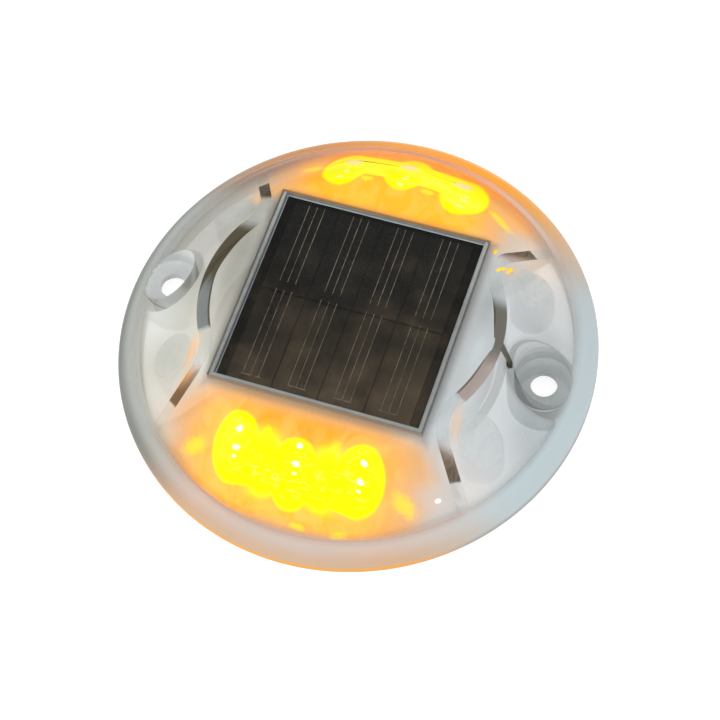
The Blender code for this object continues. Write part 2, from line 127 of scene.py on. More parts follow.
class Field:
    """A number that varies over a surface. Arithmetic on it adds Math nodes to its tree."""

    def __init__(self, tree, socket):
        self.tree = tree
        self.socket = socket

    def math(self, operation, *others):
        node = self.tree.nodes.new("ShaderNodeMath")
        node.operation = operation
        for index, value in enumerate((self, *others)):
            if isinstance(value, Field):
                self.tree.links.new(value.socket, node.inputs[index])
            else:
                node.inputs[index].default_value = value
        return Field(self.tree, node.outputs[0])

    def __add__(self, other):
        return self.math("ADD", other)

    def __sub__(self, other):
        return self.math("SUBTRACT", other)

    def __mul__(self, other):
        return self.math("MULTIPLY", other)

    def __truediv__(self, other):
        return self.math("DIVIDE", other)

    def __neg__(self):
        return self.math("MULTIPLY", -1.0)

    def least(self, other):
        return self.math("MINIMUM", other)

    def most(self, other):
        return self.math("MAXIMUM", other)

    def size(self):
        return self.math("ABSOLUTE")

    def hypot(self, other):
        return (self * self + other * other).math("SQRT")

    def ramp(self, start, end, low=0.0, high=1.0):
        """Eases from low at start to high at end, and stays there beyond them."""
        node = self.tree.nodes.new("ShaderNodeMapRange")
        node.interpolation_type = "SMOOTHSTEP"
        values = (start, end, low, high)
        if start > end:
            values = (end, start, high, low)
        self.tree.links.new(self.socket, node.inputs[0])
        for index, value in enumerate(values):
            node.inputs[index + 1].default_value = value
        return Field(self.tree, node.outputs[0])


class Surface:
    """A material with a bare output, and short names for the nodes that its patterns need."""

    def __init__(self, name):
        self.material = bpy.data.materials.new(name)
        self.material.use_nodes = True
        self.tree = self.material.node_tree
        self.tree.nodes.clear()
        self.output = self.new("ShaderNodeOutputMaterial")
        place = self.new("ShaderNodeTexCoord").outputs["Object"]
        scaled = self.new("ShaderNodeVectorMath")
        scaled.operation = "SCALE"
        scaled.inputs["Scale"].default_value = 1.0 / MM
        self.link(place, scaled.inputs[0])
        self.place = scaled.outputs[0]
        self.x, self.y, self.z = self.split(self.place)

    def new(self, kind):
        return self.tree.nodes.new(kind)

    def link(self, source, target):
        self.tree.links.new(source, target)

    def put(self, socket, value):
        """Sets a socket from a field, a colour link or a plain value."""
        if isinstance(value, Field):
            self.link(value.socket, socket)
        elif isinstance(value, bpy.types.NodeSocket):
            self.link(value, socket)
        elif isinstance(value, tuple) and len(value) == 3:
            socket.default_value = (*value, 1.0)
        else:
            socket.default_value = value

    def add(self, kind, *values, **named):
        """Makes a node with these inputs, in their order or by name, and gives its first output."""
        node = self.new(kind)
        for socket, value in zip(node.inputs, values):
            self.put(socket, value)
        for name, value in named.items():
            self.put(node.inputs[name.replace("_", " ")], value)
        return node.outputs[0]

    def split(self, vector):
        node = self.new("ShaderNodeSeparateXYZ")
        self.link(vector, node.inputs[0])
        return [Field(self.tree, part) for part in node.outputs]

    def radius(self):
        return self.x.hypot(self.y)

    def noise(self, per_mm, detail=2.0, stretch=(1.0, 1.0, 1.0), twist=0.0):
        where = self.add("ShaderNodeMapping", Vector=self.place, Scale=Vector(stretch))
        node = self.add("ShaderNodeTexNoise", Vector=where, Scale=per_mm, Detail=detail, Distortion=twist)
        return Field(self.tree, node)

    def patch(self, x, y, wide, long, turn=0.0):
        """A soft oval patch, 1 at its centre, turned by an angle in degrees."""
        dx = self.x - x
        dy = self.y - y
        cosine = math.cos(math.radians(turn))
        sine = math.sin(math.radians(turn))
        across = (dx * cosine + dy * sine) / wide
        along = (dy * cosine - dx * sine) / long
        return (-(across * across + along * along)).math("EXPONENT")

    def mix(self, share, first, second):
        node = self.new("ShaderNodeMix")
        node.data_type = "RGBA"
        self.put(node.inputs[0], share)
        self.put(node.inputs[6], first)
        self.put(node.inputs[7], second)
        return node.outputs[2]

    def mix_value(self, share, low, high):
        """A number that goes from low to high as share goes from 0 to 1."""
        return share * (high - low) + low

    def mix_shader(self, share, first, second):
        return self.add("ShaderNodeMixShader", share, first, second)

    def add_shader(self, first, second):
        return self.add("ShaderNodeAddShader", first, second)

    def matte(self, colour, roughness=0.0):
        return self.add("ShaderNodeBsdfDiffuse", Color=colour, Roughness=roughness)

    def light(self, colour, strength):
        return self.add("ShaderNodeEmission", Color=colour, Strength=strength)

    def solid(self, colour, roughness, **others):
        return self.add("ShaderNodeBsdfPrincipled", Base_Color=colour, Roughness=roughness, **others)

    def milky(self, share, milk, glow=None, strength=0.0, tint=CLEAR_TINT):
        """Clear plastic clouded by a share of milk, which may glow a little with light from inside."""
        clear = self.add("ShaderNodeBsdfTransparent", Color=tint)
        cloud = self.matte(milk)
        if glow is not None:
            cloud = self.add_shader(cloud, self.light(glow, strength))
        return self.mix_shader(share, clear, cloud)

    def bump(self, height, strength, distance):
        return self.add("ShaderNodeBump", Strength=strength, Distance=distance, Height=height)

    def gloss(self, base, roughness, ior=1.45, normal=None):
        """Lays a clear coat's reflection over another shader."""
        bumped = {} if normal is None else {"Normal": normal}
        shine = self.add("ShaderNodeBsdfGlossy", Roughness=roughness, **bumped)
        edge = self.add("ShaderNodeFresnel", IOR=ior, **bumped)
        return self.mix_shader(edge, base, shine)

    def finish(self, shader):
        self.link(shader, self.output.inputs["Surface"])
        return self.material


def srgb(red, green, blue):
    """A colour given as it looks, from 0 to 255, in the linear values that shaders take."""
    def linear(value):
        share = value / 255.0
        return share / 12.92 if share <= 0.04045 else ((share + 0.055) / 1.055) ** 2.4
    return (linear(red), linear(green), linear(blue))


# ---- mesh tools

CORNERS = ((-1, -1), (1, -1), (1, 1), (-1, 1))


def smooth(mesh, sharpest):
    """Shades a mesh smooth, but for edges that turn by more than an angle in degrees."""
    mesh.shade_smooth()
    mesh.set_sharp_from_angle(angle=math.radians(sharpest))


def add_piece(name, bm, materials, slot):
    """Makes an object of a mesh; one with a slot rides on the body, one without is a tool or the stage."""
    bmesh.ops.recalc_face_normals(bm, faces=bm.faces)
    mesh = bpy.data.meshes.new(name)
    bm.to_mesh(mesh)
    bm.free()
    piece = bpy.data.objects.new(name, mesh)
    bpy.context.scene.collection.objects.link(piece)
    for item in materials:
        mesh.materials.append(item)
    smooth(mesh, 35.0)
    if slot is not None:
        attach(piece, "root")
    return piece


def turned_mesh(profile, segments=AROUND, place=None):
    """A solid of revolution; the profile runs from the top of the axis to its bottom."""
    bm = bmesh.new()
    top = bm.verts.new((0.0, 0.0, profile[0][1]))
    bottom = bm.verts.new((0.0, 0.0, profile[-1][1]))
    rings = []
    for radius, z in profile[1:-1]:
        angles = [2 * math.pi * i / segments for i in range(segments)]
        rings.append([bm.verts.new((radius * math.cos(a), radius * math.sin(a), z)) for a in angles])
    for i in range(segments):
        j = (i + 1) % segments
        bm.faces.new((top, rings[0][i], rings[0][j]))
        bm.faces.new((bottom, rings[-1][j], rings[-1][i]))
        for upper, lower in zip(rings, rings[1:]):
            bm.faces.new((upper[i], lower[i], lower[j], upper[j]))
    bmesh.ops.dissolve_verts(bm, verts=[top, bottom])
    if place is not None:
        bm.transform(place)
    return bm


def join_rows(bm, rows):
    """Quads between each closed row of vertices and the next."""
    count = len(rows[0])
    for a, b in zip(rows, rows[1:]):
        for i in range(count):
            j = (i + 1) % count
            bm.faces.new((a[i], a[j], b[j], b[i]))


def post_profile(radius, top, bottom=BELOW_ALL):
    return [(0.0, top), (radius, top), (radius, bottom), (0.0, bottom)]


def prism_mesh(outline, z_low, z_high):
    bm = bmesh.new()
    face = bm.faces.new([bm.verts.new((x, y, z_low)) for x, y in outline])
    raised = bmesh.ops.extrude_face_region(bm, geom=[face])["geom"]
    lifted = [item for item in raised if isinstance(item, bmesh.types.BMVert)]
    bmesh.ops.translate(bm, verts=lifted, vec=(0.0, 0.0, z_high - z_low))
    return bm


def add_block(bm, low, high):
    size = Vector(high) - Vector(low)
    shape = Matrix.Translation((Vector(high) + Vector(low)) / 2) @ Matrix.Diagonal((*size, 1.0))
    bmesh.ops.create_cube(bm, size=1.0, matrix=shape)


def subtract(target, cutter, operation="DIFFERENCE"):
    """Cuts a piece with another, applies the result and removes the cutter."""
    mod = target.modifiers.new("cut", "BOOLEAN")
    mod.operation = operation
    mod.object = cutter
    apply_modifiers(target)
    bpy.data.objects.remove(cutter, do_unlink=True)


def boolean(target, bm, operation="DIFFERENCE"):
    subtract(target, add_piece("cutter", bm, [], None), operation)


def apply_modifiers(piece):
    graph = bpy.context.evaluated_depsgraph_get()
    graph.update()
    mesh = bpy.data.meshes.new_from_object(piece.evaluated_get(graph))
    piece.modifiers.clear()
    piece.data = mesh


def round_edges(piece, width, segments, angle):
    mod = piece.modifiers.new("round", "BEVEL")
    mod.width = width
    mod.segments = segments
    mod.limit_method = "ANGLE"
    mod.angle_limit = math.radians(angle)
    apply_modifiers(piece)
    smooth(piece.data, 50.0)


# ---- the cover's curves

def skirt_height(radius):
    return BODY_HEIGHT - (radius - CROWN_RADIUS) * SKIRT_FALL


def crown_arc(inset):
    """The rounded corner between the flat crown and the skirt, set in by the skin's thickness."""
    steps = 10
    tangent = CROWN_FILLET * math.tan(SKIRT_ANGLE / 2)
    centre = (CROWN_RADIUS - tangent, BODY_HEIGHT - CROWN_FILLET)
    points = []
    for i in range(steps + 1):
        angle = math.pi / 2 - SKIRT_ANGLE * i / steps
        reach = CROWN_FILLET - inset
        points.append((centre[0] + reach * math.cos(angle), centre[1] + reach * math.sin(angle)))
    return points


def under_height(radius, gap=0.0):
    """Height of the underside of the crown and skirt at a distance from the axis."""
    arc = crown_arc(SKIN + gap)
    if radius <= arc[0][0]:
        return arc[0][1]
    for (r0, z0), (r1, z1) in zip(arc, arc[1:]):
        if radius <= r1:
            return z0 + (z1 - z0) * (radius - r0) / (r1 - r0)
    return skirt_height(radius) - (SKIN + gap) / math.cos(SKIRT_ANGLE)


def under_profile(gap=0.0):
    arc = crown_arc(SKIN + gap)
    radius = RIM_INNER_RADIUS - gap
    foot = [(radius, under_height(radius, gap)), (radius, BELOW_ALL), (0.0, BELOW_ALL)]
    return [(0.0, arc[0][1]), *arc, *foot]


def outer_profile():
    """Crown, skirt, and a lip that rounds down to the road face."""
    lip = []
    start = (RIM_TOP_RADIUS - 0.0012, skirt_height(RIM_TOP_RADIUS - 0.0012))
    corner = (BODY_RADIUS - 0.0001, RIM_TOP_HEIGHT - 0.0005)
    end = (BODY_RADIUS, RIM_TOP_HEIGHT - 0.0018)
    for i in range(7):
        t = i / 6
        lip.append(tuple((1 - t) ** 2 * a + 2 * t * (1 - t) * b + t ** 2 * c
                         for a, b, c in zip(start, corner, end)))
    base = [(BODY_RADIUS, 0.0004), (BODY_RADIUS - 0.0003, 0.0)]
    return [(0.0, BODY_HEIGHT), *crown_arc(0.0), *lip, *base, (0.0, 0.0)]


def wall_line(offset, reach, run_angle):
    """One wavy wall at +X, from the rim at -Y to the rim at +Y, offset from its middle."""
    steps = 20
    turn = math.atan2(PILLAR_Y, PILLAR_X - WALL_ARC_CENTRE_X)
    span = math.hypot(PILLAR_Y, PILLAR_X - WALL_ARC_CENTRE_X)
    large = WALL_ARC_RADIUS + offset
    small = span - WALL_ARC_RADIUS - offset
    upper = []
    for i in range(1, steps + 1):
        angle = turn * i / steps
        upper.append((WALL_ARC_CENTRE_X + large * math.cos(angle), large * math.sin(angle)))
    first = math.pi + turn
    last = math.pi / 2 + run_angle
    for i in range(1, steps + 1):
        angle = first + (last - first) * i / steps
        upper.append((PILLAR_X + small * math.cos(angle), PILLAR_Y + small * math.sin(angle)))
    x, y = upper[-1]
    dx = math.cos(run_angle)
    dy = math.sin(run_angle)
    along = x * dx + y * dy
    run = -along + math.sqrt(along ** 2 - (x ** 2 + y ** 2 - reach ** 2))
    for i in range(1, steps + 1):
        upper.append((x + dx * run * i / steps, y + dy * run * i / steps))
    lower = [(x, -y) for x, y in reversed(upper)]
    return lower + [(WALL_ARC_CENTRE_X + large, 0.0)] + upper


def lobe_edge(x, side):
    """Inner (side -1) or outer (side +1) edge of the three-lobed lens block at one x."""
    bridge = LOBE_BRIDGE_OUTER_Y if side > 0 else LOBE_BRIDGE_INNER_Y
    softness = 0.0006
    share = max(0.0, 1.0 - (x / LED_X) ** 4)
    total = share * math.exp(side * (bridge - LOBE_CENTRE_Y) / softness)
    for centre_x, centre_y in LED_PLACES:
        across = abs(x - centre_x) / LOBE_HALF_WIDTH
        if across < 1.0001:
            reach = centre_y + side * LOBE_HALF_LENGTH * math.sqrt(max(0.0, 1.0 - across ** 2))
            total += math.exp(side * reach / softness)
    return LOBE_CENTRE_Y + side * softness * math.log(total)


def lens_outline(sign):
    steps = 84
    half = LED_X + LOBE_HALF_WIDTH
    across = [half * math.sin(math.pi / 2 * (2 * i / steps - 1)) for i in range(steps + 1)]
    outer = [(x, sign * lobe_edge(x, 1)) for x in across]
    inner = [(x, sign * lobe_edge(x, -1)) for x in reversed(across[1:-1])]
    return outer + inner


# ---- patterns that several surfaces share

def lobe_field(s, grown=0.0):
    """Below 1 inside the three-lobed windows and above 1 outside.

    A grown window's outer edge moves out by twice that much, and its inner edge stays.
    """
    away = s.y.size() - LOBE_CENTRE_Y / MM - grown
    half_length = grown + LOBE_HALF_LENGTH / MM
    lobes = None
    for x, shift in LED_PLACES:
        across = (s.x - x / MM) / (LOBE_HALF_WIDTH / MM)
        along = (away - shift / MM) / half_length
        lobe = across * across + along * along
        lobes = lobe if lobes is None else lobes.math("SMOOTH_MIN", lobe, 0.35)
    middle = (LOBE_BRIDGE_INNER_Y + LOBE_BRIDGE_OUTER_Y) / 2 - LOBE_CENTRE_Y
    half = (LOBE_BRIDGE_OUTER_Y - LOBE_BRIDGE_INNER_Y) / 2
    bridge_along = ((away - middle / MM) / (grown + half / MM)).size()
    bridge_across = (s.x / (LED_X / MM)).size()
    bridge = bridge_along.most(bridge_across)
    return lobes.math("SMOOTH_MIN", bridge * bridge, 0.35)


def glow_field(s):
    """How strongly the LEDs' amber light fills the frosted underside, from 0 to 1."""
    drift = (s.noise(0.11, 2.0) - 0.5) * 8.0
    beside = (s.x.size() + s.x * 0.07 + drift).ramp(42.0, 14.0)
    beyond_panel = (s.y.size() - s.y.ramp(0.0, -10.0, 0.0, 3.0)).ramp(20.5, 31.0)
    before_rim = s.y.ramp(-56.5, -50.0)
    return beside * beyond_panel * before_rim


def panel_distance(s):
    """Distance outside the square of the solar panel."""
    half = PANEL_HALF / MM
    return (s.x.size() - half).most(s.y.size() - half)


# ---- materials of the cover

REAR_LEFT = srgb(164, 162, 154)
REAR_RIGHT = srgb(178, 180, 180)
FRONT_LEFT = srgb(198, 194, 184)
FRONT_RIGHT = srgb(184, 189, 192)
# PEACH, AMBER and DEEP_AMBER are the LEDs' amber light, painted into the underside round them
PEACH = srgb(212, 164, 114)
AMBER = srgb(242, 178, 82)
DEEP_AMBER = srgb(238, 160, 46)
PURE_YELLOW = srgb(255, 255, 0)
GLOW_YELLOW = srgb(253, 216, 44)
HALO_YELLOW = srgb(254, 232, 4)
WHITE = (1.0, 1.0, 1.0)

# Patches on the underside: x, y, half width, half length, then maybe a turn, a share and a tone.
GREY_PATCHES = (
    (49.0, -14.0, 5.0, 9.0, 0.0, 0.75, srgb(142, 150, 152)),
    (-49.0, -7.0, 5.0, 9.0, 0.0, 0.6, srgb(226, 229, 226)),
    (38.0, 30.0, 7.0, 5.0, -50.0, 0.7, srgb(222, 198, 176)),
    (31.5, 13.0, 3.0, 8.0, 0.0, 0.55, srgb(146, 153, 155)),
    (-41.0, -21.5, 5.0, 5.0, 0.0, 0.6, srgb(172, 168, 148)),
    (-31.0, 10.0, 3.4, 20.0, 0.0, 0.6, srgb(138, 136, 126)),
    (39.0, -35.0, 10.0, 8.0, 0.0, 0.5, srgb(206, 192, 182)),
    (47.0, 10.0, 6.0, 3.5, 0.0, 0.6, srgb(140, 144, 146)),
    (-44.0, -11.0, 7.0, 7.0, 0.0, 0.5, srgb(212, 216, 210)))
# Patches where the LEDs' amber light is painted into the underside.
AMBER_LIGHT_PATCHES = (
    (-33.8, -21.0, 1.3, 4.0, -8.0, 0.6), (33.4, -21.0, 1.3, 4.0, 8.0, 0.35),
    (-34.2, 25.4, 0.9, 2.6, 25.0, 0.6), (30.0, 41.5, 7.0, 4.0, -35.0, 0.8),
    (-25.5, 41.5, 4.0, 4.5, 10.0, 0.8), (34.0, 22.5, 1.3, 2.4, -20.0, 0.4))
LIGHT_LEAKS = (
    (-26.5, -41.0, 3.2, 2.0, 10.0), (26.5, -41.0, 3.4, 2.0, -20.0), (-8.3, -36.0, 1.3, 1.5),
    (8.6, -35.4, 1.3, 1.5), (3.5, -52.4, 2.4, 0.7), (13.5, -51.4, 2.2, 0.8, 15.0),
    (26.0, 38.0, 4.4, 1.3, -35.0), (-8.5, 37.0, 1.8, 1.2), (7.5, 37.2, 2.0, 1.1),
    (-24.5, 40.0, 3.0, 1.6, 20.0))
GLINTS = ((31.4, 21.2, 1.7, 0.5, 48.0), (33.2, 22.2, 1.6, 0.4, 78.0), (28.6, 25.6, 0.4, 1.2, -10.0))
NECK_GLOWS = (
    (-7.8, -40.0, 4.2, 4.8), (7.8, -40.0, 4.2, 4.8),
    (-6.4, -46.4, 4.4, 2.5, 14.0), (6.4, -46.4, 4.4, 2.5, -14.0))
GHOSTS = ((-1.0, 47.6, 3.2, 2.4), (13.6, 46.4, 3.2, 2.4), (-15.2, 45.2, 3.2, 2.4))


def hole_distance(s):
    """Distance from the nearer screw hole's axis."""
    return (s.x.size() - HOLE_X / MM).hypot(s.y)


def cover_colour(s):
    """Milky grey, with the LEDs' light painted in: peach and amber round them, a few brighter leaks of it,
    painted glints and a yellow halo.
    """
    cloud = s.noise(0.07, 3.0)
    forward = (s.y.ramp(34.0, -46.0) + (cloud - 0.5) * 0.5).ramp(0.0, 1.0)
    rightward = (s.x.ramp(-44.0, 40.0) + (cloud - 0.5) * 0.5).ramp(0.0, 1.0)
    grey = s.mix(rightward, s.mix(forward, REAR_LEFT, FRONT_LEFT), s.mix(forward, REAR_RIGHT, FRONT_RIGHT))
    grey = s.mix(s.patch(32.5, -2.0, 2.2, 6.0) * 0.4, grey, srgb(205, 217, 221))
    # painted shade: darker grey round the right screw well's tube
    well_shade = hole_distance(s).ramp(10.2, 8.8) * s.x.ramp(-10.0, 10.0, 0.0, 0.7)
    grey = s.mix(well_shade, grey, srgb(150, 153, 152))
    for *patch, share, tone in GREY_PATCHES:
        grey = s.mix(s.patch(*patch) * share, grey, tone)
    glow = glow_field(s)
    # painted light: where the LEDs' glow is strong, the grey turns peach and then amber
    peach = s.mix(glow.ramp(0.0, 0.5), grey, PEACH)
    ripple = s.noise(0.16, 3.0, (1.0, 0.6, 1.0), 1.2)
    deeper = (ripple.ramp(0.35, 0.75) + s.y.ramp(0.0, 20.0, 0.0, 0.6)).least(1.0)
    amber = s.mix(deeper, AMBER, DEEP_AMBER)
    colour = s.mix(glow.ramp(0.4, 0.95), peach, amber)
    colour = s.mix(s.patch(-38.0, 43.5, 14.0, 5.0, 40.0) * 0.6, colour, srgb(156, 116, 88))
    # painted amber light, in a few patches
    for *patch, share in AMBER_LIGHT_PATCHES:
        colour = s.mix(s.patch(*patch) * share, colour, srgb(242, 174, 92))
    torn = s.noise(0.8, 3.0, (1.0, 1.0, 1.0), 1.5) - 0.5
    for patch in LIGHT_LEAKS:
        leak = (s.patch(*patch) + torn * 0.9).ramp(0.15, 0.85)
        colour = s.mix(leak * 0.70, colour, GLOW_YELLOW)
    for patch in GLINTS:
        colour = s.mix(s.patch(*patch).ramp(0.35, 0.55), colour, srgb(255, 206, 40))
    # a painted white glint, in front on the right
    white = s.patch(33.6, -37.2, 0.9, 0.5, 35.0).ramp(0.35, 0.6)
    colour = s.mix(white, colour, WHITE)
    field = lobe_field(s, s.y.ramp(-1.0, 1.0, 0.0, 1.2))
    halo = field.ramp(1.28, 0.88)
    for patch in NECK_GLOWS:
        halo = halo.most(s.patch(*patch).ramp(0.05, 0.9))
    colour = s.mix(halo, colour, HALO_YELLOW)
    ghost = reduce(Field.most, [s.patch(*patch) + torn * 0.7 for patch in GHOSTS]).ramp(0.35, 0.8)
    return s.mix(ghost * 0.75, colour, srgb(236, 198, 160)), glow.most(halo), ghost


def rim_colour(s):
    """The rim by its place round the body: amber behind, which is the LEDs' light painted in, rosy milk in
    front, cool on the right, and painted shade along the left outer edge.
    """
    radius = s.radius()
    rearward = s.y / radius
    rightward = s.x / radius
    side = s.mix(rightward.ramp(-0.35, 0.35), srgb(158, 162, 157), srgb(172, 184, 188))
    edge = radius.ramp(56.5, 59.4)
    # painted shade: the left side darkens towards its outer edge
    side = s.mix(edge * rightward.ramp(0.0, -0.6), side, srgb(114, 117, 113))
    front = s.mix(edge, srgb(186, 172, 163), srgb(190, 160, 133))
    # painted light: the LEDs' amber behind, duller to the left and the right
    rear = s.mix(rightward.ramp(0.1, -0.62), srgb(222, 148, 36), srgb(172, 118, 64))
    rear = s.mix(rightward.ramp(0.25, 0.75), rear, srgb(196, 146, 84))
    frontward = (rearward + rightward.ramp(-0.2, -0.7, 0.0, 0.16)).ramp(-0.50, -0.90)
    colour = s.mix(frontward, side, front)
    return s.mix(rearward.ramp(0.38, 0.86), colour, rear), rearward


def outer_material():
    """The polished outside: clear over the crown, milky in the thick rim, with soft moulding waves."""
    s = Surface("cover_outside")
    radius = s.radius()
    waves = s.noise(0.05, 2.0) + s.noise(0.6, 2.0) * 0.03
    normal = s.bump(waves, 0.25, 0.0008)
    colour, rearward = rim_colour(s)
    side_wall = s.z.ramp(2.7, 1.9)
    lit_edge = rearward.ramp(-0.64, -0.90).most(rearward.ramp(0.36, 0.86))
    wall = s.mix(lit_edge, srgb(158, 161, 159), srgb(224, 158, 72))
    colour = s.mix(side_wall, colour, wall)
    streak = s.noise(0.06, 2.0).ramp(0.2, 0.8, -0.04, 0.04)
    haze = (streak + 0.86) * radius.ramp(53.6, 56.4)
    ring = ((s.x - 0.9).hypot(s.y + 1.9) - 55.0).size()
    ring = ring.ramp(1.6, 0.5) * rearward.ramp(0.42, 0.74)
    ring_tone = s.mix(s.x.ramp(0.0, 30.0), srgb(166, 134, 116), srgb(190, 168, 154))
    colour = s.mix(ring, colour, ring_tone)
    haze = haze.most(ring * 0.72)
    lit = rearward.ramp(0.5, 0.84) * 0.30 + 0.08
    base = s.milky(haze, colour, colour, lit, (0.985, 0.99, 0.99))
    roughness = s.noise(0.8, 3.0).ramp(0.3, 0.8, 0.10, 0.24)
    behind = (rearward.ramp(0.25, 0.6) * radius.ramp(58.4, 57.4)).most(side_wall)
    return s.finish(s.gloss(base, roughness, s.mix_value(behind, 1.20, 1.06), normal))


def inner_material():
    """The frosted underside: clear over the panel and the lens blocks, milky elsewhere."""
    s = Surface("cover_underside")
    colour, glow, ghost = cover_colour(s)
    outside_panel = panel_distance(s)
    shade = outside_panel.ramp(0.0, 3.0, 0.45, 1.0)
    window = lobe_field(s).ramp(0.68, 0.98).most(ghost)
    solid = window * outside_panel.ramp(0.0, 0.25)
    side_zone = s.x.size().ramp(34.0, 39.0) * s.y.size().ramp(40.0, 30.0)
    grain = s.noise(1.4, 3.0).ramp(0.2, 0.8, 0.95, 1.0)
    haze = (side_zone.ramp(0.0, 1.0, 0.94, 0.80) * solid * grain).least(0.96)
    shaded = s.mix(shade, srgb(96, 90, 82), colour)
    # painted light: a steady glow over the whole milky underside, plus the LEDs' glow, dimmed by the painted
    # shade round the panel
    return s.finish(s.milky(haze, shaded, colour, (glow * 0.12 + 0.30) * shade))


def rim_material():
    """The rim's inner wall and road face, seen through the plastic: a rosy grey ring, with the LEDs' amber
    light painted in behind.
    """
    s = Surface("cover_rim")
    radius = s.radius()
    rearward = s.y / radius
    grey = s.mix((s.x / radius).ramp(-0.4, 0.4), srgb(176, 178, 172), srgb(196, 202, 204))
    ring = s.mix(rearward.size().ramp(0.4, 0.8), grey, srgb(207, 174, 152))
    colour = s.mix(s.z.ramp(0.9, 0.3), ring, s.mix(rearward.ramp(0.4, 0.8), grey, srgb(244, 173, 68)))
    streak = s.noise(0.5, 3.0, (1.0, 1.0, 3.0)).ramp(0.2, 0.8, 0.82, 0.92)
    lit = rearward.ramp(0.4, 0.8) * 0.3 + rearward.ramp(-0.4, -0.8) * 0.4 + 0.1
    return s.finish(s.milky(streak, colour, colour, lit))


def well_material():
    """The smooth walls and floor of the screw wells, with painted shade that greys them as they go down; the
    right well is greyer.
    """
    s = Surface("cover_well")
    turned = s.noise(0.25, 2.0, (1.0, 1.0, 2.5))
    # painted shade, growing deeper down the wells
    depth_shade = s.z.ramp(17.0, 7.5)
    rings = (s.z * 2.6).math("SINE").ramp(0.6, 1.0) * 0.25
    rightward = s.x.ramp(-1.0, 1.0)
    upper = s.mix(rightward, srgb(200, 203, 201), srgb(186, 190, 190))
    deep = s.mix(rightward, srgb(172, 176, 175), srgb(146, 151, 151))
    colour = s.mix((depth_shade + rings).least(1.0), upper, deep)
    haze = turned.ramp(0.3, 0.7, 0.66, 0.76) + s.mix_value(rightward, 0.10, 0.0)
    base = s.milky(haze, colour, colour, s.mix_value(rightward, 0.34, 0.25), (0.96, 0.97, 0.97))
    return s.finish(s.gloss(base, 0.15, 1.33))


def arc_offset(s):
    """Distance outward from the middle line of the wavy wall's large arc."""
    return (s.x.size() - WALL_ARC_CENTRE_X / MM).hypot(s.y) - WALL_ARC_RADIUS / MM


def run_offset(s):
    """The same by the pillars, where the wall bends round each one and runs straight to the rim."""
    dx = s.x.size() - PILLAR_X / MM
    dy = s.y.size() - PILLAR_Y / MM
    reverse = math.hypot(PILLAR_Y, PILLAR_X - WALL_ARC_CENTRE_X) / MM - WALL_ARC_RADIUS / MM
    rightward = s.x.ramp(-1.0, 1.0)
    left, right = WALL_RUN_ANGLE["left"], WALL_RUN_ANGLE["right"]
    sine = s.mix_value(rightward, math.sin(left), math.sin(right))
    cosine = s.mix_value(rightward, math.cos(left), math.cos(right))
    straight = dx * sine - dy * cosine + reverse
    bent = -dx.hypot(dy) + reverse
    beyond = (dx * cosine + dy * sine).ramp(-0.2, 0.2)
    return bent + (straight - bent) * beyond


def wall_material():
    """Wavy walls: stretches of their top edges carry painted shade, dark where the walls show through the
    cover.
    """
    s = Surface("cover_wall")
    along = s.y.size()
    rightward = s.x.ramp(-1.0, 1.0)
    rearward = s.y.ramp(-1.0, 1.0)
    arc = arc_offset(s)
    ragged = s.noise(1.1, 3.0, (1.0, 0.6, 0.3)) - 0.5
    upper_end = (s.y - s.mix_value(rightward, 4.0, 0.6) + ragged).ramp(15.4, 9.4)
    lower_end = (s.y + arc * 0.6 + ragged).ramp(-16.0, -14.4)
    middle = upper_end * lower_end
    streak = s.noise(0.45, 3.0, (1.0, 0.5, 0.3), 0.8)
    lower = (s.y + streak * 6.0).ramp(4.0, -3.0)
    # tones of the painted shade on the middle stretches: olive-brown and grey on the left, paler on the right
    left_tone = s.mix(lower, srgb(84, 77, 60), srgb(128, 133, 131))
    right_tone = s.mix(lower, srgb(106, 103, 95), srgb(168, 153, 147))
    tone = s.mix(rightward, left_tone, right_tone)
    # a darker band of painted shade across the left wall, and a painted shadow along the inner side of each
    # wall top
    crossing = arc + 0.4 + (s.y - 4.0) * 0.22
    shade_band = crossing.size().ramp(1.0, 0.3) * s.mix_value(rightward, 0.8, 0.0)
    inner_shade = arc.ramp(-1.2, -1.65) * 0.75
    tone = s.mix(shade_band.most(inner_shade), tone, srgb(70, 62, 50))
    # painted shade on the straight runs by the pillars, paler at their inner ends
    run_streak = s.noise(1.6, 2.0, (1.0, 0.25, 0.3))
    outward = run_offset(s)
    run_shade = s.mix(run_streak.ramp(0.35, 0.7), srgb(88, 74, 61), srgb(118, 102, 87))
    left_tint = s.mix(rearward, srgb(128, 92, 54), srgb(70, 60, 50))
    run_shade = s.mix(-(rightward * 0.8) + 0.8, run_shade, left_tint)
    left_rear = (-rightward + 1.0) * rearward
    far = (along - outward * rearward * 1.5 + left_rear * 3.6).ramp(25.0, 30.5)
    rear_light = s.mix(rightward, srgb(168, 146, 124), srgb(176, 156, 145))
    orange = outward.ramp(-0.6, 0.6) * s.mix_value(rightward, 1.0, 0.0)
    front_light = s.mix(orange, srgb(168, 146, 128), srgb(230, 166, 106))
    run_tone = s.mix(far, s.mix(rearward, front_light, rear_light), run_shade)
    tone = s.mix(along.ramp(18.0, 21.0), tone, run_tone)
    run_end = along + outward * 0.55 + s.mix_value(rightward, -0.6, -0.3)
    run_start = along - rightward * (-rearward + 1.0) * 1.8
    run = run_start.ramp(22.6, 26.5) * run_end.ramp(32.2, 31.6)
    # where the top edges carry painted shade
    wall_shade = middle.most(run)
    geometry = s.new("ShaderNodeNewGeometry")
    upward = s.split(geometry.outputs["True Normal"])[2].ramp(0.25, 0.45)
    haze = upward * (wall_shade * 0.90 + 0.03) + 0.04
    return s.finish(s.milky(haze, s.mix(wall_shade, srgb(196, 202, 202), tone)))


